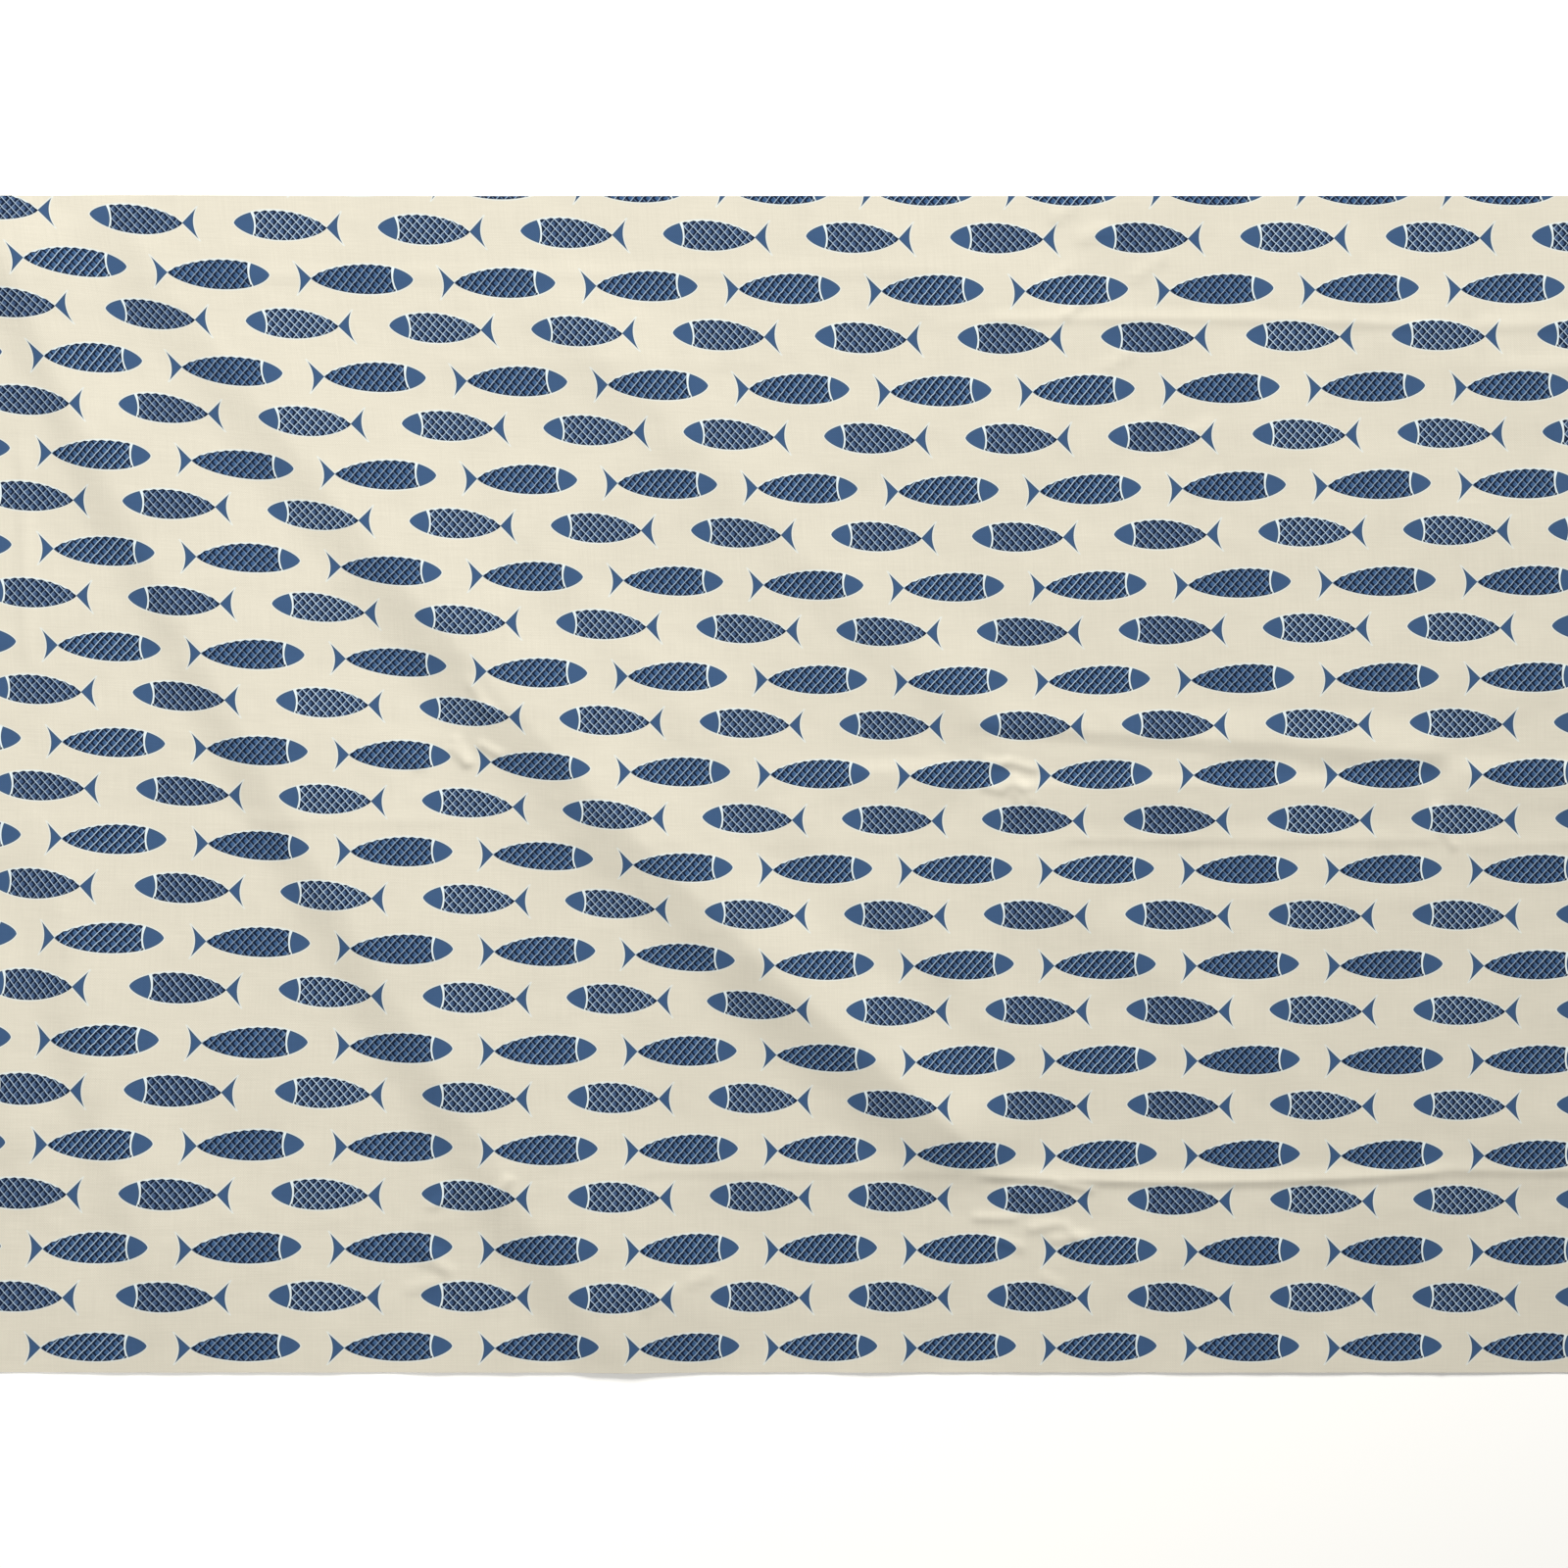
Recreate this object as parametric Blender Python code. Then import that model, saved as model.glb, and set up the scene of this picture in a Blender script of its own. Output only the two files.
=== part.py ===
"""A cut length of printed cotton cloth, lying on a flat surface with soft slack folds in it.

Units are metres and +Z is up. The origin is on the surface that the cloth lies on, under
the middle of the cloth. +X runs across the cloth from selvedge to selvedge, and +Y runs
along its length. The cloth is woven and cut as one piece, so it is one solid.
"""

import math
from collections import namedtuple

import bmesh
import bpy

# Driving dimensions of the cloth as it lies.
CLOTH_WIDTH = 1.100
CLOTH_LENGTH = 0.784
CLOTH_THICKNESS = 0.0004

# The spacing of the points that carry the shape of the folds.
WEAVE_STEP = 0.026

# Creases from storage stand straight across the flatter part of the cloth as low ridges.
# The first one's place is from the upper cut edge, and the part's is from the left selvedge.
CREASE_SPACING = 0.287
FIRST_CREASE = 0.079
CREASE_HEIGHT = 0.0025
CREASE_WIDTH = 0.045
CREASED_PART_START = 0.681
CREASE_RISE = 0.100

# Cotton with a cream ground, dull and soft.
GROUND_COLOUR = (0.787, 0.730, 0.610, 1.0)
GROUND_ROUGHNESS = 0.9

# A fold rises as a crest along a slightly bowed line. Its places are measured from the
# corner of the left selvedge and the upper cut edge: x to the right, y towards the lower
# edge. The lower left flank is the steep one. Heights are those at the two ends.
Fold = namedtuple(
    "Fold", "start end bow start_height end_height steep_width gentle_width fade"
)

DRAG_FOLDS = (
    Fold(
        start=(0.008, -0.020),
        end=(0.466, 0.812),
        bow=0.019,
        start_height=0.0036,
        end_height=0.0056,
        steep_width=0.040,
        gentle_width=0.110,
        fade=0.10,
    ),
    Fold(
        start=(0.078, -0.040),
        end=(0.708, 0.655),
        bow=0.036,
        start_height=0.0024,
        end_height=0.0098,
        steep_width=0.052,
        gentle_width=0.090,
        fade=0.09,
    ),
    Fold(
        start=(0.364, 0.040),
        end=(0.709, 0.371),
        bow=0.0,
        start_height=0.0018,
        end_height=0.0024,
        steep_width=0.040,
        gentle_width=0.060,
        fade=0.12,
    ),
    Fold(
        start=(0.356, 0.190),
        end=(0.700, 0.560),
        bow=0.004,
        start_height=0.0016,
        end_height=0.0022,
        steep_width=0.040,
        gentle_width=0.060,
        fade=0.25,
    ),
    Fold(
        start=(0.045, 0.360),
        end=(0.152, 0.820),
        bow=0.006,
        start_height=0.0020,
        end_height=0.0042,
        steep_width=0.040,
        gentle_width=0.080,
        fade=0.30,
    ),
)


def ease(share):
    """Rises smoothly from 0 to 1 as share goes from 0 to 1."""
    share = min(max(share, 0.0), 1.0)
    return share * share * (3.0 - 2.0 * share)


def hump(distance, reach):
    """A rounded crest: 1 at no distance, and 0 from the reach on."""
    if distance >= reach:
        return 0.0
    return 0.5 + 0.5 * math.cos(math.pi * distance / reach)


def fold_height(fold, x, y):
    """The height that one fold gives the point x, y, measured from the upper left corner."""
    run_x = fold.end[0] - fold.start[0]
    run_y = fold.end[1] - fold.start[1]
    run = math.hypot(run_x, run_y)
    share = ((x - fold.start[0]) * run_x + (y - fold.start[1]) * run_y) / run**2
    if not 0.0 < share < 1.0:
        return 0.0
    aside = ((x - fold.start[0]) * run_y - (y - fold.start[1]) * run_x) / run
    aside += 4.0 * fold.bow * share * (1.0 - share)
    reach = fold.gentle_width if aside > 0.0 else fold.steep_width
    height = fold.start_height + (fold.end_height - fold.start_height) * share
    ends = ease(share / fold.fade) * ease((1.0 - share) / fold.fade)
    return height * ends * hump(abs(aside), reach)


def crease_height(x, y):
    """The height of the storage creases across the flatter part, which reach the right selvedge."""
    height = 0.0
    row = FIRST_CREASE
    while row < CLOTH_LENGTH - CREASE_WIDTH:
        height += CREASE_HEIGHT * hump(abs(y - row), CREASE_WIDTH)
        row += CREASE_SPACING
    return height * ease((x - CREASED_PART_START) / CREASE_RISE)


def lie_of_cloth(x, y):
    """How far the underside stands off the surface at the point x, y of the part's own frame."""
    from_left = x + CLOTH_WIDTH / 2.0
    from_top = CLOTH_LENGTH / 2.0 - y
    height = crease_height(from_left, from_top)
    for fold in DRAG_FOLDS:
        height += fold_height(fold, from_left, from_top)
    return height


def printed_cotton():
    """Plain-woven cotton, cream where it isn't printed."""
    material = bpy.data.materials.new("printed_cotton")
    material.use_nodes = True
    shader = material.node_tree.nodes["Principled BSDF"]
    shader.inputs["Base Color"].default_value = GROUND_COLOUR
    shader.inputs["Roughness"].default_value = GROUND_ROUGHNESS
    shader.inputs["Metallic"].default_value = 0.0
    return material


def printed_cloth():
    """The whole cloth: a sheet shaped by its folds, given its thickness upwards."""
    shape = bmesh.new()
    cells_across = round(CLOTH_WIDTH / WEAVE_STEP)
    cells_along = round(CLOTH_LENGTH / WEAVE_STEP)
    bmesh.ops.create_grid(shape, x_segments=cells_across, y_segments=cells_along, size=0.5)
    for point in shape.verts:
        point.co.x *= CLOTH_WIDTH
        point.co.y *= CLOTH_LENGTH
        point.co.z = lie_of_cloth(point.co.x, point.co.y)
    raised = bmesh.ops.extrude_face_region(shape, geom=shape.faces[:], use_keep_orig=True)
    for point in raised["geom"]:
        if isinstance(point, bmesh.types.BMVert):
            point.co.z += CLOTH_THICKNESS
    bmesh.ops.recalc_face_normals(shape, faces=shape.faces[:])
    mesh = bpy.data.meshes.new("printed_cloth")
    shape.to_mesh(mesh)
    shape.free()
    mesh.materials.append(printed_cotton())
    cloth = bpy.data.objects.new("printed_cloth", mesh)
    bpy.context.scene.collection.objects.link(cloth)
    return cloth


def main():
    for old in list(bpy.data.objects):
        bpy.data.objects.remove(old, do_unlink=True)
    printed_cloth()


main()
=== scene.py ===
import math

import bpy
import numpy as np
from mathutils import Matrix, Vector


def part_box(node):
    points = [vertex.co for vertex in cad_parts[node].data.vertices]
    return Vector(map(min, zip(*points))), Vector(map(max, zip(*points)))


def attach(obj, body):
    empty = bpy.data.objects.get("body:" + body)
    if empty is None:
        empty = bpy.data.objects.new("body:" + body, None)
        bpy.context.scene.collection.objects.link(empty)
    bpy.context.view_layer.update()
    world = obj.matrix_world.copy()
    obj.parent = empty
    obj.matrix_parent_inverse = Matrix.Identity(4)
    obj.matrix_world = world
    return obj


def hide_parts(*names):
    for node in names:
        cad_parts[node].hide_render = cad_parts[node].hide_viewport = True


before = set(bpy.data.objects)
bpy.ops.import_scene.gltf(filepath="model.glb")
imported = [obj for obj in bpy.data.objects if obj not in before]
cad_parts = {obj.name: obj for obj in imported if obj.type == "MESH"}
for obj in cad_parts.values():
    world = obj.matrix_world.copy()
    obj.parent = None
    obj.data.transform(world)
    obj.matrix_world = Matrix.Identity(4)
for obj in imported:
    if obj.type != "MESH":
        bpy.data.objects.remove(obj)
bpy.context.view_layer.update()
print("frame loaded")

# Metres throughout. Places on the cloth are given from its upper left corner, as it is
# looked at from above: x to the right across the cloth, y down its length.

# Camera first: straight above the cloth, leaning a little so that the upper edge is nearer.
cameraView = dict(lens=50.0, distance=1.451, lean=math.radians(2.5), aimY=0.0047)

bpy.ops.object.camera_add(
    location=(
        0.0,
        cameraView["aimY"] + cameraView["distance"] * math.sin(cameraView["lean"]),
        cameraView["distance"] * math.cos(cameraView["lean"]),
    ),
    rotation=(-cameraView["lean"], 0.0, 0.0),
)
camera = bpy.context.object
camera.name = "cameraAbove"
camera.data.lens = cameraView["lens"]
bpy.context.scene.camera = camera
bpy.context.scene.view_settings.view_transform = "Standard"
print("camera set")


# sRGB hex to the linear colour that a shader takes.
def linearColour(hexCode):
    shares = [int(hexCode[i : i + 2], 16) / 255.0 for i in (1, 3, 5)]
    bent = [s / 12.92 if s <= 0.04045 else ((s + 0.055) / 1.055) ** 2.4 for s in shares]
    return (*bent, 1.0)


# Adds one shader node. links gives each socket a value or another node's output.
def add(tree, kind, links=None, **settings):
    made = tree.nodes.new("ShaderNode" + kind)
    for name, value in settings.items():
        setattr(made, name, value)
    for socket, source in (links or {}).items():
        if isinstance(source, bpy.types.NodeSocket):
            tree.links.new(source, made.inputs[socket])
        else:
            made.inputs[socket].default_value = source
    return made.outputs


# An empty node material and its Principled shader, already joined to the output.
def newMaterial(name):
    material = bpy.data.materials.new(name)
    material.use_nodes = True
    material.node_tree.nodes.clear()
    shader = add(material.node_tree, "BsdfPrincipled")["BSDF"]
    add(material.node_tree, "OutputMaterial", {"Surface": shader})
    return material, shader.node


# Floor and light

studio = dict(
    floorSize=9.0,
    floorColour="#FDFDFB",
    floorRoughness=0.95,
    floorGloss=0.1,
    keyPlace=(1.0, 3.6, 2.3),
    keySize=1.3,
    keyPower=252.0,
    fillPlace=(-0.9, 0.0, 1.9),
    fillSize=1.0,
    fillPower=24.5,
    lightColour=(1.0, 0.985, 0.955),
    airColour=(1.0, 0.99, 0.975, 1.0),
    airStrength=0.125,
)


# A plain matt floor for the cloth to lie on.
def paleFloor():
    bpy.ops.object.select_all(action="DESELECT")
    bpy.ops.mesh.primitive_plane_add(size=studio["floorSize"])
    floor = bpy.context.object
    floor.name = "floor"
    # Matt white board: evenly bright and without any gloss.
    board, shader = newMaterial("mattWhiteBoard")
    shader.inputs["Base Color"].default_value = linearColour(studio["floorColour"])
    shader.inputs["Roughness"].default_value = studio["floorRoughness"]
    shader.inputs["Specular IOR Level"].default_value = studio["floorGloss"]
    floor.data.materials.append(board)
    return floor


# A square lamp that points at the middle of the cloth.
def softLamp(name, place, size, power):
    bpy.ops.object.light_add(type="AREA", location=place)
    lamp = bpy.context.object
    lamp.name = name
    lamp.data.size = size
    lamp.data.energy = power
    lamp.data.color = studio["lightColour"]
    away = math.hypot(place[0], place[1])
    lamp.rotation_euler = (
        math.atan2(away, place[2]),
        0.0,
        math.atan2(place[0], -place[1]),
    )


floor = paleFloor()
softLamp("keyLamp", studio["keyPlace"], studio["keySize"], studio["keyPower"])
softLamp("fillLamp", studio["fillPlace"], studio["fillSize"], studio["fillPower"])
air = bpy.data.worlds.new("studioAir")
air.use_nodes = True
glow = air.node_tree.nodes["Background"]
glow.inputs["Color"].default_value = studio["airColour"]
glow.inputs["Strength"].default_value = studio["airStrength"]
bpy.context.scene.world = air
print("floor and light ready")


# The cloth's shape

cloth = dict(
    thickness=0.0004,
    lift=0.0009,  # the slack sheet touches the floor only here and there
    leastGap=0.00005,
    cellsAcross=330,
    cellsAlong=230,
    waves=(0.012, 0.130, 22),  # the shortest, the longest, and how many
    unevenness=0.00012,  # the height of a wave of the usual length; longer ones are higher
    usualWave=0.07,
    waveWidth=3.1,  # how much wider a wave is than it is long
    selvedge=0.012,
    smoothUpTo=math.radians(50.0),
)
clothLow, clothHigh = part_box("printed_cloth")
clothWidth = clothHigh.x - clothLow.x
clothLength = clothHigh.y - clothLow.y

# Where the sheet's lines stand closer together, as (middle, half width, how much denser).
closerAcross = ((0.345, 0.03, 0.5), (0.700, 0.05, 0.7), (0.994, 0.015, 0.8))
closerAlong = (
    (0.078, 0.015, 1.3),
    (0.375, 0.035, 1.6),
    (0.424, 0.012, 0.8),
    (0.655, 0.020, 2.0),
    (0.690, 0.030, 0.6),
)


# Rises smoothly from 0 to 1 as share goes from 0 to 1.
def ease(share):
    share = np.clip(share, 0.0, 1.0)
    return share * share * (3.0 - 2.0 * share)


# Is 1 at the middle and falls off softly to both sides.
def nearby(place, middle, halfWidth):
    return np.exp(-(((place - middle) / halfWidth) ** 2))


# The same value at both ends, unless there are two of them.
def bothEnds(value):
    return value if isinstance(value, tuple) else (value, value)


# One ridge: its two ends, its height and how far each flank reaches, all in metres.
def fold(start, end, height, lower, upper, bow=0.0, fade=0.1, sharp=0.3):
    return dict(
        start=start,
        end=end,
        height=bothEnds(height),
        lower=bothEnds(lower),
        upper=bothEnds(upper),
        bow=bow,
        fade=fade,
        sharp=sharp,
    )


# How far along a ridge a point is, as a share, and how far beside it, in metres.
def besideFold(ridge, x, y):
    runX = ridge["end"][0] - ridge["start"][0]
    runY = ridge["end"][1] - ridge["start"][1]
    run = math.hypot(runX, runY)
    fromX = x - ridge["start"][0]
    fromY = y - ridge["start"][1]
    share = (fromX * runX + fromY * runY) / run**2
    aside = (fromX * runY - fromY * runX) / run
    return share, aside + 4.0 * ridge["bow"] * share * (1.0 - share)


# The height that one ridge adds. Its crest is between a round one and a sharp one.
def foldHeight(ridge, x, y):
    share, aside = besideFold(ridge, x, y)
    inside = np.clip(share, 0.0, 1.0)
    height, lower, upper = (
        ridge[side][0] * (1.0 - inside) + ridge[side][1] * inside
        for side in ("height", "lower", "upper")
    )
    off = np.clip(np.abs(aside) / np.where(aside > 0.0, upper, lower), 0.0, 1.0)
    soft = 0.5 + 0.5 * np.cos(math.pi * off)
    crest = soft * (1.0 - ridge["sharp"]) + (1.0 - off) ** 2 * ridge["sharp"]
    return height * crest * ease(share / ridge["fade"]) * ease((1.0 - share) / ridge["fade"])


# Slack pulled from the upper left makes long soft folds. Their lower left flank is steep.
# Each has its two ends, its height, the reach of its lower and its upper flank, how far it
# bows, the share of it that fades out at each end, and how sharp its crest is.
dragFolds = [
    fold(
        (0.008, -0.020), (0.466, 0.812), (0.0036, 0.0056),
        lower=(0.028, 0.042), upper=0.130, bow=0.019, fade=0.08,
    ),
    fold(
        (0.078, -0.040), (0.708, 0.655), (0.0022, 0.0086),
        lower=(0.034, 0.056), upper=(0.170, 0.052), bow=0.036, fade=0.07, sharp=0.45,
    ),
    fold((0.364, 0.040), (0.709, 0.371), (0.0014, 0.0021), 0.034, 0.060, 0.0, 0.12, 0.30),
    fold((0.356, 0.190), (0.700, 0.560), (0.0016, 0.0022), 0.036, 0.050, 0.004, 0.20, 0.20),
    fold((0.045, 0.360), (0.152, 0.820), (0.0020, 0.0042), 0.034, 0.080, 0.006, 0.30, 0.30),
    fold((0.018, 0.500), (0.040, 0.700), 0.0011, 0.022, 0.030, 0.0, 0.40, 0.2),
    fold((0.725, 0.450), (0.945, 0.625), 0.0009, 0.030, 0.030, 0.0, 0.30, 0.0),
]

# Creases from folding for storage.
storageCreases = [
    fold((0.672, 0.6490), (1.000, 0.6465), 0.0014, 0.007, 0.010, 0.0065, 0.06, 0.6),
    fold((0.985, 0.6465), (1.130, 0.6470), 0.0009, 0.007, 0.010, 0.0, 0.10, 0.6),
    fold((0.430, 0.648), (0.690, 0.648), 0.0004, 0.007, 0.012, 0.0, 0.15, 0.5),
    fold((0.665, 0.346), (1.003, 0.368), (0.0012, 0.0019), (0.009, 0.018), 0.026, 0.0, 0.08, 0.4),
    fold((0.690, 0.391), (0.990, 0.390), 0.0010, 0.036, 0.010, -0.002, 0.08, 0.3),
    fold((0.985, 0.380), (1.130, 0.380), 0.0011, 0.034, 0.014, 0.0, 0.10, 0.3),
    fold((0.560, 0.380), (0.690, 0.378), 0.0013, 0.030, 0.012, 0.0, 0.25, 0.3),
    fold((0.725, 0.424), (1.000, 0.4245), 0.0006, 0.006, 0.013, 0.0, 0.10, 0.5),
    fold((0.990, 0.428), (1.130, 0.426), 0.0004, 0.006, 0.013, 0.0, 0.15, 0.5),
    fold((0.818, 0.4635), (1.000, 0.4655), 0.0005, 0.006, 0.012, 0.0, 0.15, 0.5),
    fold((0.675, 0.082), (1.000, 0.0865), 0.0007, 0.006, 0.009, -0.004, 0.06, 0.5),
    fold((1.000, 0.085), (1.130, 0.083), 0.0007, 0.008, 0.012, 0.0, 0.10, 0.5),
    fold((1.010, 0.112), (1.130, 0.112), 0.0007, 0.007, 0.010, 0.0, 0.15, 0.5),
    fold((0.110, 0.053), (0.690, 0.049), 0.0005, 0.007, 0.009, 0.0, 0.10, 0.5),
    fold((0.300, 0.108), (0.560, 0.110), 0.0003, 0.008, 0.010, 0.0, 0.15, 0.5),
    fold((0.185, 0.411), (0.350, 0.412), 0.0003, 0.008, 0.012, 0.0, 0.15, 0.5),
    fold((0.994, -0.010), (0.994, 0.800), 0.0003, 0.006, 0.008, 0.0, 0.02, 0.6),
    fold((0.681, 0.280), (0.681, 0.655), 0.0003, 0.008, 0.008, 0.0, 0.08, 0.6),
    fold((0.362, 0.390), (0.362, 0.790), 0.0003, 0.008, 0.008, 0.0, 0.08, 0.6),
    fold((0.047, 0.150), (0.047, 0.315), 0.0014, 0.007, 0.008, 0.0, 0.20, 0.4),
]

# Short creases come in loose fans where the folds and the storage creases meet.
crumples = dict(
    height=0.0011,
    reach=0.006,
    fade=0.18,
    sharp=0.5,
    shortest=0.6,  # as a share of the fan's usual length
    fans=(
        # middle, how far they scatter, how many, length, heading and its spread in degrees
        ((0.730, 0.695), 0.020, 8, 0.040, 20.0, 35.0),
        ((0.700, 0.385), 0.014, 6, 0.032, 20.0, 50.0),
        ((0.340, 0.350), 0.024, 6, 0.034, 50.0, 25.0),
        ((0.330, 0.695), 0.024, 7, 0.036, 0.0, 50.0),
        ((0.740, 0.045), 0.024, 6, 0.044, -25.0, 15.0),
        ((0.800, 0.170), 0.022, 3, 0.045, -40.0, 12.0),
        ((0.480, 0.735), 0.024, 3, 0.036, -25.0, 15.0),
        ((0.985, 0.405), 0.010, 2, 0.030, 50.0, 15.0),
    ),
)


# All the small creases, each with its middle, length and heading drawn by chance.
def smallCreases():
    draw = np.random.default_rng(11)
    creases = []
    for middle, scatter, count, length, heading, spread in crumples["fans"]:
        for _ in range(count):
            middleX, middleY = draw.normal(middle, scatter)
            turn = math.radians(heading + draw.uniform(-spread, spread))
            half = 0.5 * length * draw.uniform(crumples["shortest"], 1.0)
            halfX, halfY = half * math.cos(turn), half * math.sin(turn)
            creases.append(
                fold(
                    (middleX - halfX, middleY - halfY),
                    (middleX + halfX, middleY + halfY),
                    crumples["height"],
                    crumples["reach"],
                    crumples["reach"],
                    0.0,
                    crumples["fade"],
                    crumples["sharp"],
                )
            )
    return creases


# How high the top of the cloth lies over the floor.
def clothHeight(x, y):
    height = np.full_like(x, cloth["lift"] + cloth["thickness"])
    for ridge in dragFolds + storageCreases + smallCreases():
        height += foldHeight(ridge, x, y)
    # Faint waves, because cloth that was folded never lies quite flat.
    draw = np.random.default_rng(7)
    for wave in np.geomspace(*cloth["waves"]):
        heading, phase = draw.uniform(0.0, 2.0 * math.pi, 2)
        strength = cloth["unevenness"] * (wave / cloth["usualWave"])
        width = cloth["waveWidth"] * wave
        run = (x * math.cos(heading) + y * math.sin(heading)) * 2.0 * math.pi / wave
        across = (x * math.sin(heading) - y * math.cos(heading)) * 2.0 * math.pi / width
        height += strength * np.sin(run + phase) * np.cos(across + 2.0 * phase)
    return np.maximum(height, cloth["thickness"] + cloth["leastGap"])


# The cloth hung back towards its upper left, so the printed rows sag and lean there.
# Amounts are in metres. Places across are in metres and places down are shares.
printLie = dict(
    sag=0.015,
    sagPower=1.75,  # it grows towards the left selvedge
    sagRight=0.66,
    sagEnd=(0.49, 0.45),  # it fades out from here down, over this stretch
    foldStep=(0.0025, 0.0070),  # the rows step down across the two long folds
    foldStepPlace=(-0.077, 0.10),
    foldStepEnd=0.4,
    dip=0.005,
    dipPlace=((0.66, 0.20), (0.27, 0.17)),
    lowStretch=0.0025,
    lowStretchPlace=(0.84, 0.12),
    leanLeast=-0.005,
    leanTop=0.022,
    leanLeft=0.016,
    leanLeftPlace=(0.83, 0.67),
    leanLeftTop=0.65,  # less of it in the top quarter
    leanLow=0.028,
    leanLowPlace=(0.5, 0.45),
    leanRightTop=0.006,
    leanRightTopPlace=(0.6, 0.6),
    cornerPull=0.0075,
    cornerPlace=((0.06, 0.075), (0.14, 0.09)),
    edgePush=0.004,
    edgePlace=((0.07, 0.04), (0.66, 0.10)),
)


# Is 1 at a middle given across and down, and falls off softly around it.
def around(x, down, place):
    return nearby(x, *place[0]) * nearby(down, *place[1])


# Where a point of the laid cloth was when the cloth was flat and square.
def flatPlace(x, y):
    lie = printLie
    down = y / clothLength
    up = 1.0 - down
    left = np.clip((lie["sagRight"] - x) / lie["sagRight"], 0.0, 1.0)
    sagFrom, sagOver = lie["sagEnd"]
    sag = lie["sag"] * (1.0 - ease((down - sagFrom) / sagOver)) * left ** lie["sagPower"]
    stepFrom, stepOver = lie["foldStepPlace"]
    for ridge, step in zip(dragFolds, lie["foldStep"]):
        beyond = ease((besideFold(ridge, x, y)[1] - stepFrom) / stepOver)
        sag += step * (1.0 - beyond) * ease(up / lie["foldStepEnd"])
    sag -= lie["dip"] * around(x, down, lie["dipPlace"])
    lowFrom, lowOver = lie["lowStretchPlace"]
    sag -= lie["lowStretch"] * ease((down - lowFrom) / lowOver)
    lean = lie["leanLeast"] + lie["leanTop"] * up**2
    leftFrom, leftOver = lie["leanLeftPlace"]
    lessOnTop = 1.0 - lie["leanLeftTop"] * ease(4.0 * up - 3.0)
    lean -= lie["leanLeft"] * ease((leftFrom - x) / leftOver) * lessOnTop
    lowRight, lowTop = lie["leanLowPlace"]
    lowLeft = ease((lowRight - x) / lowRight) * ease((down - lowTop) / (1.0 - lowTop))
    lean += lie["leanLow"] * lowLeft
    topRight, topLow = lie["leanRightTopPlace"]
    lean += lie["leanRightTop"] * ease(x / topRight) * ease((up - topLow) / (1.0 - topLow))
    lean -= lie["cornerPull"] * around(x, down, lie["cornerPlace"])
    lean += lie["edgePush"] * around(x, down, lie["edgePlace"])
    return clothLow.x + x + lean, clothHigh.y - y - sag


# Places of the sheet's lines along one side, nearer to each other at the creases.
def unevenLines(length, cells, closer):
    fine = np.linspace(0.0, length, 4001)
    density = np.ones_like(fine)
    for middle, halfWidth, extra in closer:
        density += extra * nearby(fine, middle, halfWidth)
    passed = np.concatenate(([0.0], np.cumsum((density[1:] + density[:-1]) / 2.0)))
    return np.interp(np.linspace(0.0, passed[-1], cells + 1), passed, fine)


# The lowest height among each point and its eight neighbours.
def lowestAround(heights):
    padded = np.pad(heights, 1, mode="edge")
    rows, columns = heights.shape
    nine = [padded[i : i + rows, j : j + columns] for i in range(3) for j in range(3)]
    return np.min(nine, axis=0)


# The sheet layout for painting: the printed face above, the underside in the strip below it.
# Each is where it starts and how long it is, as shares of the layout.
sheetLayout = dict(across=(0.003, 0.994), face=(0.215, 0.780), back=(0.003, 0.200))


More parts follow.
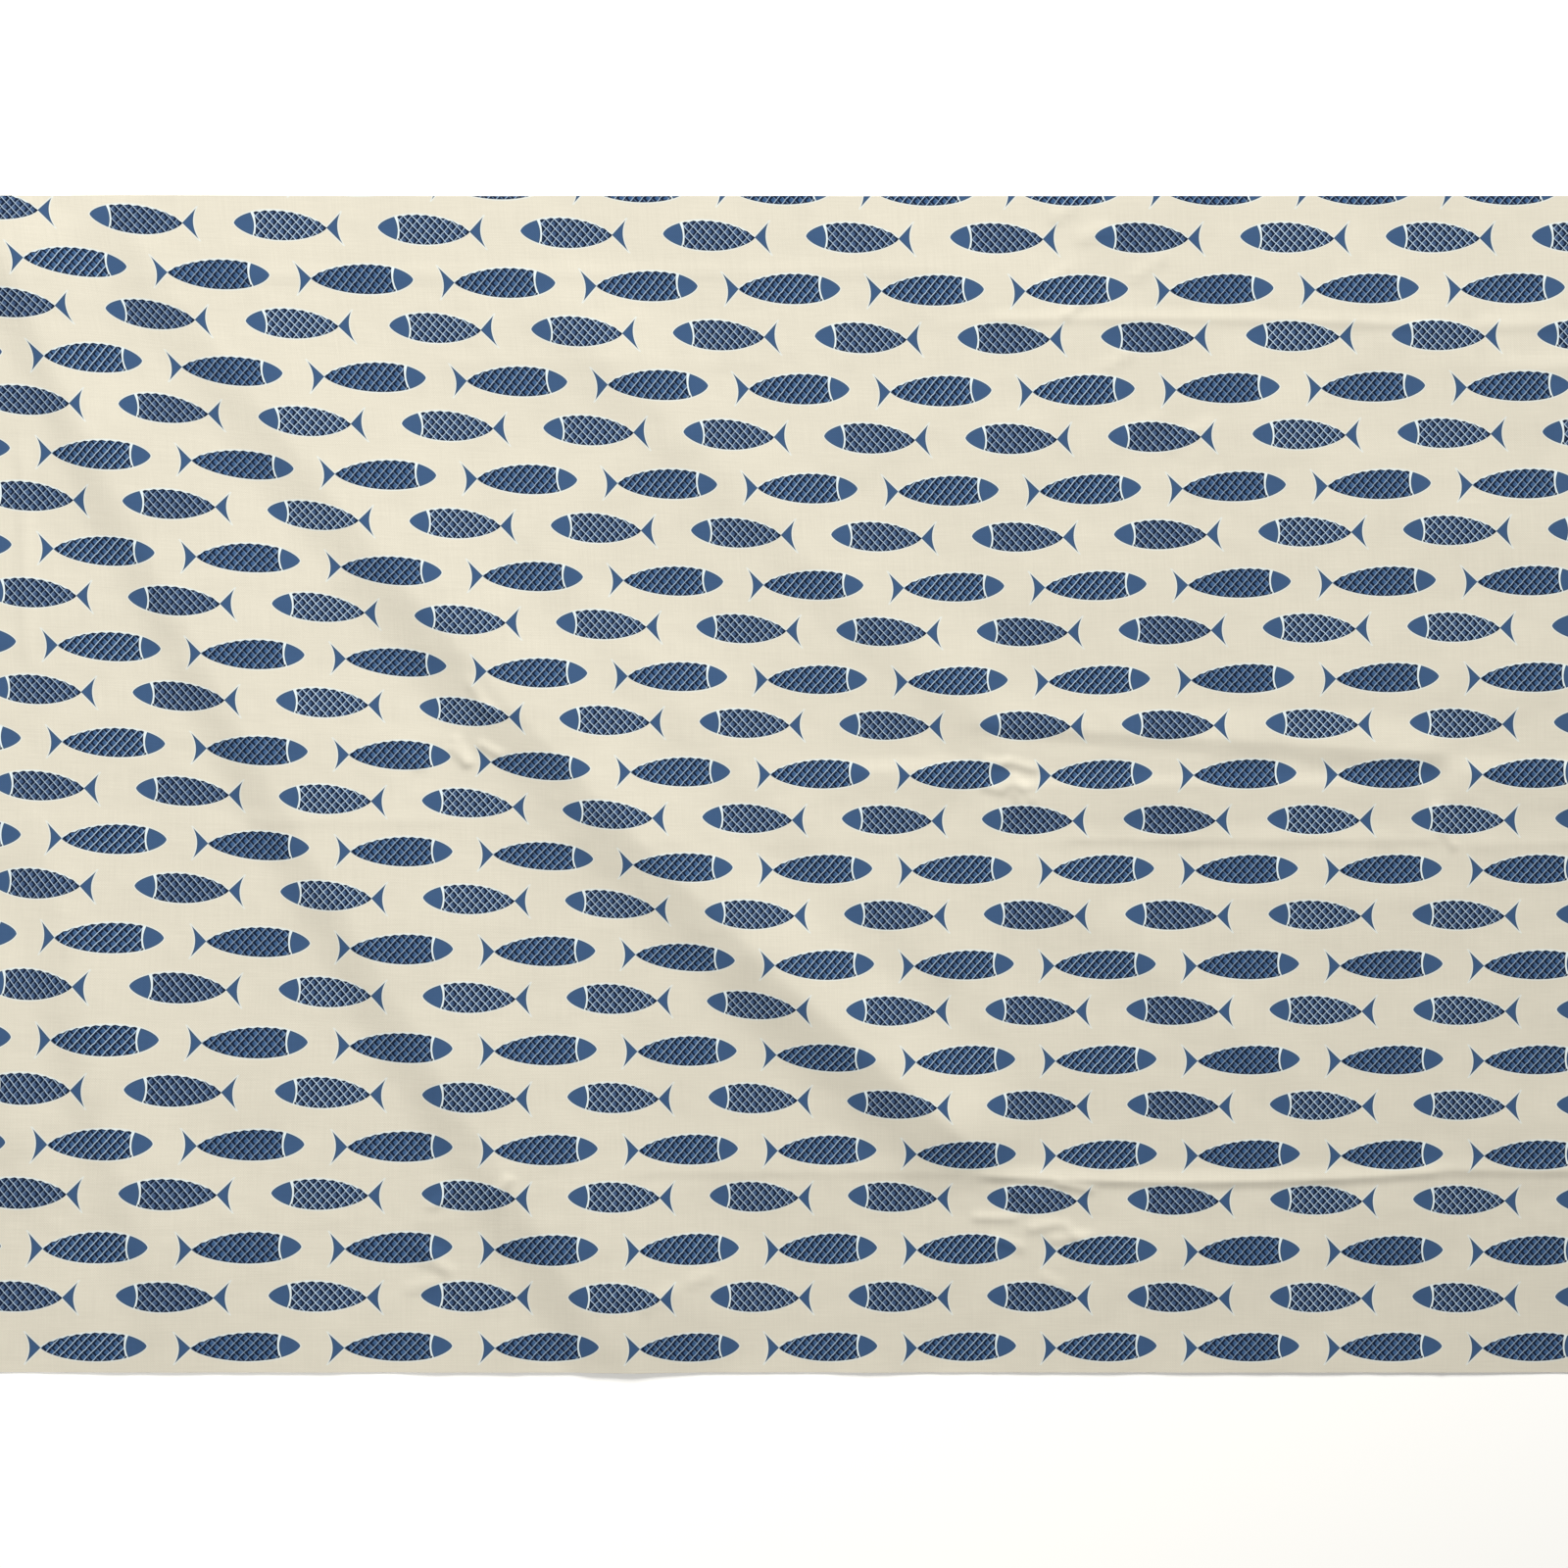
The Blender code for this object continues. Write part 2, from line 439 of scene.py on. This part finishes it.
# One closed sheet: a fine upper face, an underside half as fine, and a thin rim.
def printedCloth():
    xs = unevenLines(clothWidth, cloth["cellsAcross"], closerAcross)
    ys = unevenLines(clothLength, cloth["cellsAlong"], closerAlong)
    x, y = np.meshgrid(xs, ys)
    top = clothHeight(x, y)
    under = (lowestAround(top) - cloth["thickness"])[::2, ::2]
    flatX, flatY = flatPlace(x, y)

    def corners(heights, step):
        columns = (clothLow.x + x[::step, ::step], clothHigh.y - y[::step, ::step], heights)
        return np.stack([c.ravel() for c in columns], axis=1)

    rows, across = top.shape
    underRows, underAcross = under.shape
    topIndex = np.arange(rows * across).reshape(rows, across)
    underIndex = rows * across + np.arange(under.size).reshape(underRows, underAcross)

    def squares(index):
        first, second = index[:-1, :-1], index[1:, :-1]
        third, fourth = index[1:, 1:], index[:-1, 1:]
        return np.stack([c.ravel() for c in (first, second, third, fourth)], axis=1).tolist()

    faces = squares(topIndex)
    topCount = len(faces)
    faces += [face[::-1] for face in squares(underIndex)]
    underCount = len(faces)
    sides = (
        (topIndex[-1], underIndex[-1]),
        (topIndex[0][::-1], underIndex[0][::-1]),
        (topIndex[:, 0], underIndex[:, 0]),
        (topIndex[:, -1][::-1], underIndex[:, -1][::-1]),
    )
    for topEdge, underEdge in sides:
        for k in range(len(underEdge) - 1):
            upper = [int(topEdge[2 * k + 2]), int(topEdge[2 * k + 1]), int(topEdge[2 * k])]
            faces.append(upper + [int(underEdge[k]), int(underEdge[k + 1])])

    mesh = bpy.data.meshes.new("printedCotton")
    points = np.concatenate([corners(top, 1), corners(under, 2)])
    mesh.from_pydata(points.tolist(), [], faces)
    mesh.update()

    # The print is laid out in metres of flat cloth. The second map is the sheet layout.
    flat = np.concatenate(
        [
            np.stack([flatX.ravel(), flatY.ravel()], axis=1),
            np.stack([flatX[::2, ::2].ravel(), flatY[::2, ::2].ravel()], axis=1),
        ]
    )
    acrossShare = (points[:, 0] - clothLow.x) / clothWidth
    alongShare = (points[:, 1] - clothLow.y) / clothLength
    loops = np.zeros(len(mesh.loops), dtype=int)
    mesh.loops.foreach_get("vertex_index", loops)
    loopCounts = np.zeros(len(mesh.polygons), dtype=int)
    mesh.polygons.foreach_get("loop_total", loopCounts)
    onUnder = np.repeat(np.arange(len(faces)) >= topCount, loopCounts)
    onRim = np.repeat(np.arange(len(faces)) >= underCount, loopCounts)
    onUnder &= ~onRim
    flatMap = mesh.uv_layers.new(name="clothFlat")
    flatMap.data.foreach_set("uv", flat[loops].ravel())
    leftSide, breadth = sheetLayout["across"]
    faceLow, faceLength = sheetLayout["face"]
    backLow, backLength = sheetLayout["back"]
    faceV = faceLow + faceLength * alongShare[loops]
    backV = backLow + backLength * alongShare[loops]
    sheetU = leftSide + breadth * acrossShare[loops]
    sheetV = np.where(onUnder, backV, faceV)
    sheetMap = mesh.uv_layers.new(name="OFBake")
    sheetMap.data.foreach_set("uv", np.stack([sheetU, sheetV], axis=1).ravel())

    kinds = np.zeros(len(faces), dtype=int)
    kinds[topCount:underCount] = 1
    mesh.materials.append(printedCotton("printedCottonFace", printDesign["faceStrength"]))
    mesh.materials.append(printedCotton("printedCottonBack", printDesign["backStrength"]))
    mesh.polygons.foreach_set("material_index", kinds)
    sheet = bpy.data.objects.new("printedCotton", mesh)
    bpy.context.scene.collection.objects.link(sheet)
    bpy.ops.object.select_all(action="DESELECT")
    sheet.select_set(True)
    bpy.context.view_layer.objects.active = sheet
    bpy.ops.object.shade_smooth_by_angle(angle=cloth["smoothUpTo"])
    return sheet


# The printed cotton

# Millimetres of flat cloth. Left-headed and right-headed rows of fish stand by turns, half
# a repeat apart. The right-headed fish are the left-headed ones mirrored, one scale longer.
printDesign = dict(
    repeatAcross=96.0,
    repeatAlong=64.0,
    firstFish=(258.8, 45.0),  # from the middle of the cloth
    rightRow=(46.8, 30.7),
    mirrorShift=3.25,
    fishTilt=0.02,
    axisHeight=0.2,
    noseAt=-33.04,
    tailAt=28.8,
    longTailAt=35.7,
    # half its height is outlineHeight * s ** noseBlunt * (1 - s) ** tailBlunt, less outlineTrim,
    # where s runs from 0 at the nose to 1 at the tail
    outlineHeight=24.9,
    noseBlunt=0.62,
    tailBlunt=0.70,
    outlineTrim=0.2,
    stretchFrom=-19.0,  # the right-headed fish are longer from here to the tail
    halo=0.8,
    haloHeight=0.1,  # how much taller the outline gets for each millimetre of halo
    haloTail=0.4,  # and how much further back it reaches
    gill=(-19.7, 0.030, 0.5),  # its place, its bend, and its middle over the axis
    shoulder=(-18.55, 0.019, 1.5),
    scallopDepth=0.25,
    finReach=0.3,  # half the tail's height where it joins the body
    finEdge=0.71,  # a 45 degree edge is so much nearer than it is along the fish
    finBack=(7.0, 0.0262),  # the hollow back edge: its place behind the joint, and its bend
    finHalf=10.6,
    dotAt=(-19.75, -6.5, 0.0),
    dotRadius=0.75,
    scaleAcross=5.95,
    scaleAlong=6.33,
    scaleWaver=0.22,  # how quickly the hand-drawn lines waver
    # white line strength in the first and the last fish drawn, left-headed and then right-headed
    strongLines=((1.0, 0.74), (0.42, 0.88)),
    weakLines=((0.72, 0.28), (0.20, 0.16)),
    whiteHalf=0.055,
    navyHalf=0.15,
    navyAside=0.25,
    lineSoftness=0.03,
    navyCover=1.0,
    brushFineness=0.75,
    brushFrom=(0.48, 0.68),
    edgeSoftness=0.16,
    rimInk=(0.95, 0.45),  # how far inside the body its navy rim begins and is full
    rimCover=0.85,
    softRim=(1.1, 0.2),  # the same for the darker rim of head and tail
    fishAcross=7.0,  # the drawing is seven fish wide, and its scale lines differ along it
    firstAcross=0.95,
    faceStrength=1.0,
    backStrength=0.30,
)

inkColours = dict(
    ground="#CBC6B7",
    undyed="#D2CDBE",
    white="#D1DCDE",
    line="#B4C8D8",
    blue="#395376",
    blueEdge="#384D63",
    scale="#3D5375",
    scaleRight="#38577F",  # the right-headed rows are a little bluer
    navy="#0E1C33",
)

clothFinish = dict(
    threadDrawn=0.0015,  # real threads are 0.45 mm apart and too fine to show
    slubs=((42.0, 1100.0, 1.0), (1100.0, 36.0, 1.0)),  # how fine, along and across each thread
    slubRange=(0.6, 1.4),
    slubTone=(0.955, 1.045),
    cloudFineness=9.0,
    cloudRange=(0.3, 0.7),
    cloudTone=(0.985, 1.015),
    haloCover=0.5,
    rimCover=0.75,
    dotCover=0.9,
    brushCover=0.35,
    selvedgeSoftness=0.0002,
    slubRelief=1.6,
    reliefStrength=0.25,
    reliefDepth=0.00008,
    roughness=0.88,
    gloss=0.08,
    sheen=0.02,
    sheenRoughness=0.5,
)


# The drawn fish. Gives a mask for each ink, from 0 to 1, at any place on the flat cloth.
def fishInks(tree):
    design = printDesign
    place = add(tree, "UVMap", uv_map="clothFlat")["UV"]
    steps = add(
        tree,
        "VectorMath",
        {0: place, 1: (1000.0, 1000.0, 0.0), 2: tuple(-v for v in design["firstFish"]) + (0.0,)},
        operation="MULTIPLY_ADD",
    )[0]
    half = (design["repeatAcross"] / 2.0, design["repeatAlong"] / 2.0, 1.0)
    lowHalf = tuple(-v for v in half)
    leftPlace = add(tree, "VectorMath", {0: steps, 1: half, 2: lowHalf}, operation="WRAP")[0]
    shifted = add(
        tree,
        "VectorMath",
        {0: steps, 1: (*design["rightRow"], 0.0)},
        operation="SUBTRACT",
    )[0]
    rightPlace = add(tree, "VectorMath", {0: shifted, 1: half, 2: lowHalf}, operation="WRAP")[0]

    # whichever row is nearer, with the right-headed fish turned round
    leftParts = add(tree, "SeparateXYZ", {0: leftPlace})
    rightParts = add(tree, "SeparateXYZ", {0: rightPlace})
    leftOff = add(tree, "Math", {0: leftParts[1]}, operation="ABSOLUTE")[0]
    rightOff = add(tree, "Math", {0: rightParts[1]}, operation="ABSOLUTE")[0]
    isRight = add(tree, "Math", {0: rightOff, 1: leftOff}, operation="LESS_THAN")[0]
    mirrored = add(
        tree,
        "VectorMath",
        {0: rightPlace, 1: (-1.0, 1.0, 0.0), 2: (design["mirrorShift"], 0.0, 0.0)},
        operation="MULTIPLY_ADD",
    )[0]
    fishPlace = add(
        tree, "Mix", {0: isRight, 4: leftPlace, 5: mirrored}, data_type="VECTOR"
    )[1]
    parts = add(tree, "SeparateXYZ", {0: fishPlace})
    along, up = parts[0], parts[1]

    # which fish of the seven in the drawing this is, as a share
    leftCentre = add(tree, "VectorMath", {0: steps, 1: leftPlace}, operation="SUBTRACT")[0]
    rightCentre = add(tree, "VectorMath", {0: shifted, 1: rightPlace}, operation="SUBTRACT")[0]
    centre = add(
        tree, "Mix", {0: isRight, 4: leftCentre, 5: rightCentre}, data_type="VECTOR"
    )[1]
    centreAcross = add(tree, "SeparateXYZ", {0: centre})[0]
    count = add(
        tree,
        "Math",
        {0: centreAcross, 1: 1.0 / design["repeatAcross"], 2: isRight},
        operation="MULTIPLY_ADD",
    )[0]
    counted = add(tree, "Math", {0: count, 1: design["firstAcross"]}, operation="SUBTRACT")[0]
    inDrawing = add(
        tree, "Math", {0: counted, 1: design["fishAcross"]}, operation="FLOORED_MODULO"
    )[0]
    drawingShare = add(
        tree, "Math", {0: inDrawing, 1: design["fishAcross"] - 1.0}, operation="DIVIDE"
    )[0]

    # height over the fish's own axis, which tilts a little
    tilted = add(
        tree,
        "Math",
        {0: along, 1: design["fishTilt"], 2: -design["axisHeight"]},
        operation="MULTIPLY_ADD",
    )[0]
    overAxis = add(tree, "Math", {0: up, 1: tilted}, operation="ADD")[0]
    offAxis = add(tree, "Math", {0: overAxis}, operation="ABSOLUTE")[0]

    # the longer body squeezed to the length of the shorter one, for the outline alone
    bodyPart = add(tree, "Math", {0: along, 1: design["stretchFrom"]}, operation="SUBTRACT")[0]
    bodyOnly = add(tree, "Math", {0: bodyPart, 1: 0.0}, operation="MAXIMUM")[0]
    shortBody = design["tailAt"] - design["stretchFrom"]
    squeeze = 1.0 - shortBody / (design["longTailAt"] - design["stretchFrom"])
    spare = add(tree, "Math", {0: bodyOnly, 1: squeeze}, operation="MULTIPLY")[0]
    spareHere = add(tree, "Math", {0: spare, 1: isRight}, operation="MULTIPLY")[0]
    outlineAlong = add(tree, "Math", {0: along, 1: spareHere}, operation="SUBTRACT")[0]

    # the outline itself, and the same outline grown by the halo
    insides = []
    for grow in (0.0, design["halo"]):
        share = add(
            tree,
            "MapRange",
            {
                0: outlineAlong,
                1: design["noseAt"] - grow,
                2: design["tailAt"] + design["haloTail"] * grow,
            },
        )[0]
        fromNose = add(tree, "Math", {0: share, 1: design["noseBlunt"]}, operation="POWER")[0]
        left = add(tree, "Math", {0: 1.0, 1: share}, operation="SUBTRACT")[0]
        toTail = add(tree, "Math", {0: left, 1: design["tailBlunt"]}, operation="POWER")[0]
        rounded = add(tree, "Math", {0: fromNose, 1: toTail}, operation="MULTIPLY")[0]
        fullHeight = design["outlineHeight"] * (1.0 + design["haloHeight"] * grow)
        halfHeight = add(
            tree,
            "Math",
            {0: rounded, 1: fullHeight, 2: -design["outlineTrim"]},
            operation="MULTIPLY_ADD",
        )[0]
        insides.append(add(tree, "Math", {0: halfHeight, 1: offAxis}, operation="SUBTRACT")[0])
    inside, insideHalo = insides

    # scalloped back, one low step for each scale
    scallop = add(
        tree, "Math", {0: along, 1: design["scaleAcross"] / 2.0}, operation="PINGPONG"
    )[0]
    isBack = add(tree, "Math", {0: overAxis, 1: 0.0}, operation="GREATER_THAN")[0]
    scallopCut = add(
        tree, "Math", {0: scallop, 1: -design["scallopDepth"]}, operation="MULTIPLY"
    )[0]
    scallopHere = add(tree, "Math", {0: scallopCut, 1: isBack}, operation="MULTIPLY")[0]
    insideBody = add(tree, "Math", {0: inside, 1: scallopHere}, operation="ADD")[0]

    # gill and shoulder: two shallow arcs with white between them
    arcs = []
    for at, bend, middle in (design["gill"], design["shoulder"]):
        offMiddle = add(tree, "Math", {0: up, 1: middle}, operation="SUBTRACT")[0]
        squared = add(tree, "Math", {0: offMiddle, 1: 2.0}, operation="POWER")[0]
        bent = add(tree, "Math", {0: squared, 1: bend, 2: -at}, operation="MULTIPLY_ADD")[0]
        arcs.append(add(tree, "Math", {0: along, 1: bent}, operation="ADD")[0])
    beforeGill = add(tree, "Math", {0: arcs[0], 1: -1.0}, operation="MULTIPLY")[0]
    headInside = add(tree, "Math", {0: inside, 1: beforeGill}, operation="MINIMUM")[0]
    bodyInside = add(tree, "Math", {0: insideBody, 1: arcs[1]}, operation="MINIMUM")[0]

    # tail fin: two straight leading edges and a hollow back edge
    jointAt = add(
        tree,
        "MapRange",
        {0: isRight, 3: design["tailAt"], 4: design["longTailAt"]},
    )[0]
    behind = add(tree, "Math", {0: along, 1: jointAt}, operation="SUBTRACT")[0]
    spread = add(tree, "Math", {0: behind, 1: design["finReach"]}, operation="ADD")[0]
    leading = add(tree, "Math", {0: spread, 1: offAxis}, operation="SUBTRACT")[0]
    finSquared = add(tree, "Math", {0: offAxis, 1: 2.0}, operation="POWER")[0]
    backAt, backBend = design["finBack"]
    finBack = add(
        tree, "Math", {0: finSquared, 1: backBend, 2: backAt}, operation="MULTIPLY_ADD"
    )[0]
    trailing = add(tree, "Math", {0: finBack, 1: behind}, operation="SUBTRACT")[0]
    leadingNear = add(
        tree, "Math", {0: leading, 1: design["finEdge"]}, operation="MULTIPLY"
    )[0]
    tailInside = add(tree, "Math", {0: leadingNear, 1: trailing}, operation="MINIMUM")[0]
    tailTip = add(tree, "Math", {0: design["finHalf"], 1: offAxis}, operation="SUBTRACT")[0]
    tailGrown = add(tree, "Math", {0: tailInside, 1: tailTip}, operation="MINIMUM")[0]
    tailHalo = add(tree, "Math", {0: tailGrown, 1: design["halo"]}, operation="ADD")[0]
    haloInside = add(tree, "Math", {0: insideHalo, 1: tailHalo}, operation="MAXIMUM")[0]

    dotOff = add(
        tree, "VectorMath", {0: fishPlace, 1: design["dotAt"]}, operation="DISTANCE"
    )[1]
    dotInside = add(tree, "Math", {0: design["dotRadius"], 1: dotOff}, operation="SUBTRACT")[0]

    masks = {}
    for name, depth in (
        ("fish", inside),
        ("head", headInside),
        ("body", bodyInside),
        ("tail", tailInside),
        ("dot", dotInside),
        ("halo", haloInside),
    ):
        masks[name] = add(
            tree,
            "MapRange",
            {0: depth, 1: -design["edgeSoftness"], 2: design["edgeSoftness"]},
            interpolation_type="SMOOTHSTEP",
        )[0]

    # scales: two families of slanting lines, each white beside navy, drawn by hand
    wobble = add(
        tree, "TexNoise", {"Vector": fishPlace, "Scale": design["scaleWaver"], "Detail": 1.0}
    )["Color"]
    wobbled = add(
        tree,
        "VectorMath",
        {0: wobble, 1: (1.0, 1.0, 0.0), 2: fishPlace},
        operation="MULTIPLY_ADD",
    )[0]
    soft = design["lineSoftness"]
    whites, navies = [], []
    for strengths, slant in ((design["strongLines"], 1.0), (design["weakLines"], -1.0)):
        cell = add(
            tree,
            "VectorMath",
            {
                0: wobbled,
                1: (1.0 / design["scaleAcross"], slant / design["scaleAlong"], 0.0),
            },
            operation="DOT_PRODUCT",
        )[1]
        drawn = []
        lines = ((0.0, design["whiteHalf"]), (design["navyAside"], design["navyHalf"]))
        for offset, halfWidth in lines:
            moved = add(tree, "Math", {0: cell, 1: offset}, operation="ADD")[0]
            near = add(tree, "Math", {0: moved, 1: 0.5}, operation="PINGPONG")[0]
            drawn.append(
                add(
                    tree,
                    "MapRange",
                    {0: near, 1: halfWidth + soft, 2: halfWidth - soft},
                    interpolation_type="SMOOTHSTEP",
                )[0]
            )
        (leftFirst, leftLast), (rightFirst, rightLast) = strengths
        leftStrength = add(
            tree, "MapRange", {0: drawingShare, 3: leftFirst, 4: leftLast}
        )[0]
        rightStrength = add(
            tree, "MapRange", {0: drawingShare, 3: rightFirst, 4: rightLast}
        )[0]
        strength = add(
            tree, "Mix", {0: isRight, 2: leftStrength, 3: rightStrength}, data_type="FLOAT"
        )[0]
        whites.append(add(tree, "Math", {0: drawn[0], 1: strength}, operation="MULTIPLY")[0])
        navies.append(drawn[1])
    masks["white"] = add(tree, "Math", {0: whites[0], 1: whites[1]}, operation="MAXIMUM")[0]
    navySum = add(tree, "Math", {0: navies[0], 1: navies[1]}, operation="ADD")[0]
    navyLines = add(
        tree, "Math", {0: navySum, 1: design["navyCover"]}, operation="MULTIPLY", use_clamp=True
    )[0]
    navyEdge = add(
        tree,
        "MapRange",
        {0: bodyInside, 1: design["rimInk"][0], 2: design["rimInk"][1]},
        interpolation_type="SMOOTHSTEP",
    )[0]
    edgeInk = add(tree, "Math", {0: navyEdge, 1: design["rimCover"]}, operation="MULTIPLY")[0]
    masks["navy"] = add(tree, "Math", {0: navyLines, 1: edgeInk}, operation="MAXIMUM")[0]
    blueInside = add(tree, "Math", {0: headInside, 1: tailInside}, operation="MAXIMUM")[0]
    masks["right"] = isRight
    brush = add(
        tree, "TexNoise", {"Vector": fishPlace, "Scale": design["brushFineness"], "Detail": 1.0}
    )["Fac"]
    brushLow, brushHigh = design["brushFrom"]
    masks["brush"] = add(tree, "MapRange", {0: brush, 1: brushLow, 2: brushHigh})[0]
    masks["blueEdge"] = add(
        tree,
        "MapRange",
        {0: blueInside, 1: design["softRim"][0], 2: design["softRim"][1]},
        interpolation_type="SMOOTHSTEP",
    )[0]
    return masks


# Plain-woven cotton, screen printed and pressed: matt and soft, with slightly thicker threads
# here and there that catch the light and take the ink a little darker.
def printedCotton(name, strength):
    finish = clothFinish
    material, shader = newMaterial(name)
    tree = material.node_tree
    masks = fishInks(tree)
    colours = {ink: linearColour(code) for ink, code in inkColours.items()}

    # thicker threads both ways, and faint clouds in the dye
    place = add(tree, "UVMap", uv_map="clothFlat")["UV"]
    threads = []
    for stretch in finish["slubs"]:
        run = add(tree, "VectorMath", {0: place, 1: stretch}, operation="MULTIPLY")[0]
        threads.append(
            add(tree, "TexNoise", {"Vector": run, "Scale": 1.0, "Detail": 2.0})["Fac"]
        )
    slubs = add(tree, "Math", {0: threads[0], 1: threads[1]}, operation="ADD")[0]
    cloudy = add(
        tree, "TexNoise", {"Vector": place, "Scale": finish["cloudFineness"], "Detail": 3.0}
    )["Fac"]
    least, most = finish["slubRange"]
    dark, light = finish["slubTone"]
    tone = add(tree, "MapRange", {0: slubs, 1: least, 2: most, 3: dark, 4: light})[0]
    least, most = finish["cloudRange"]
    dark, light = finish["cloudTone"]
    cloudTone = add(tree, "MapRange", {0: cloudy, 1: least, 2: most, 3: dark, 4: light})[0]
    tones = add(tree, "Math", {0: tone, 1: cloudTone}, operation="MULTIPLY")[0]

    # the inks, one over the other, as the screens lay them down
    layers = (
        ("halo", "white", finish["haloCover"]),
        ("fish", "white", 1.0),
        ("head", "blue", 1.0),
        ("tail", "blue", 1.0),
    )
    colour = colours["ground"]
    for mask, ink, cover in layers:
        covered = add(
            tree, "Math", {0: masks[mask], 1: cover * strength}, operation="MULTIPLY"
        )[0]
        colour = add(
            tree, "Mix", {0: covered, 6: colour, 7: colours[ink]}, data_type="RGBA"
        )[2]
    rimmed = add(tree, "Math", {0: masks["head"], 1: masks["tail"]}, operation="MAXIMUM")[0]
    rimInk = add(tree, "Math", {0: rimmed, 1: masks["blueEdge"]}, operation="MULTIPLY")[0]
    rimCover = add(
        tree, "Math", {0: rimInk, 1: finish["rimCover"] * strength}, operation="MULTIPLY"
    )[0]
    colour = add(
        tree, "Mix", {0: rimCover, 6: colour, 7: colours["blueEdge"]}, data_type="RGBA"
    )[2]
    body = add(
        tree,
        "Mix",
        {0: masks["right"], 6: colours["scale"], 7: colours["scaleRight"]},
        data_type="RGBA",
    )[2]
    for mask, cover in (("brush", finish["brushCover"]), ("navy", 1.0)):
        covered = add(tree, "Math", {0: masks[mask], 1: cover}, operation="MULTIPLY")[0]
        body = add(tree, "Mix", {0: covered, 6: body, 7: colours["navy"]}, data_type="RGBA")[2]
    body = add(tree, "Mix", {0: masks["white"], 6: body, 7: colours["line"]}, data_type="RGBA")[2]
    bodyCover = add(tree, "Math", {0: masks["body"], 1: strength}, operation="MULTIPLY")[0]
    colour = add(tree, "Mix", {0: bodyCover, 6: colour, 7: body}, data_type="RGBA")[2]
    dotCover = add(
        tree, "Math", {0: masks["dot"], 1: finish["dotCover"] * strength}, operation="MULTIPLY"
    )[0]
    colour = add(
        tree, "Mix", {0: dotCover, 6: colour, 7: colours["navy"]}, data_type="RGBA"
    )[2]

    # unprinted selvedges
    objectPlace = add(tree, "TexCoord")["Object"]
    acrossCloth = add(tree, "SeparateXYZ", {0: objectPlace})[0]
    fromMiddle = add(tree, "Math", {0: acrossCloth}, operation="ABSOLUTE")[0]
    inner = clothWidth / 2.0 - cloth["selvedge"]
    soft = finish["selvedgeSoftness"]
    isSelvedge = add(tree, "MapRange", {0: fromMiddle, 1: inner - soft, 2: inner + soft})[0]
    colour = add(
        tree, "Mix", {0: isSelvedge, 6: colour, 7: colours["undyed"]}, data_type="RGBA"
    )[2]
    toned = add(tree, "VectorMath", {0: colour, 3: tones}, operation="SCALE")[0]
    tree.links.new(toned, shader.inputs["Base Color"])

    # plain weave, over and under by turns
    turns = 2.0 * math.pi / finish["threadDrawn"]
    weave = add(tree, "VectorMath", {0: place, 1: (turns, turns, 0.0)}, operation="MULTIPLY")[0]
    waves = add(tree, "VectorMath", {0: weave}, operation="SINE")[0]
    waveParts = add(tree, "SeparateXYZ", {0: waves})
    plain = add(tree, "Math", {0: waveParts[0], 1: waveParts[1]}, operation="MULTIPLY")[0]
    relief = add(
        tree, "Math", {0: slubs, 1: finish["slubRelief"], 2: plain}, operation="MULTIPLY_ADD"
    )[0]
    bump = add(
        tree,
        "Bump",
        {
            "Height": relief,
            "Strength": finish["reliefStrength"],
            "Distance": finish["reliefDepth"],
        },
    )["Normal"]
    tree.links.new(bump, shader.inputs["Normal"])
    shader.inputs["Roughness"].default_value = finish["roughness"]
    shader.inputs["Specular IOR Level"].default_value = finish["gloss"]
    shader.inputs["Sheen Weight"].default_value = finish["sheen"]
    shader.inputs["Sheen Roughness"].default_value = finish["sheenRoughness"]
    return material


printed = printedCloth()
print("cloth made,", len(printed.data.polygons), "faces")

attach(printed, "root")
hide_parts("printed_cloth")
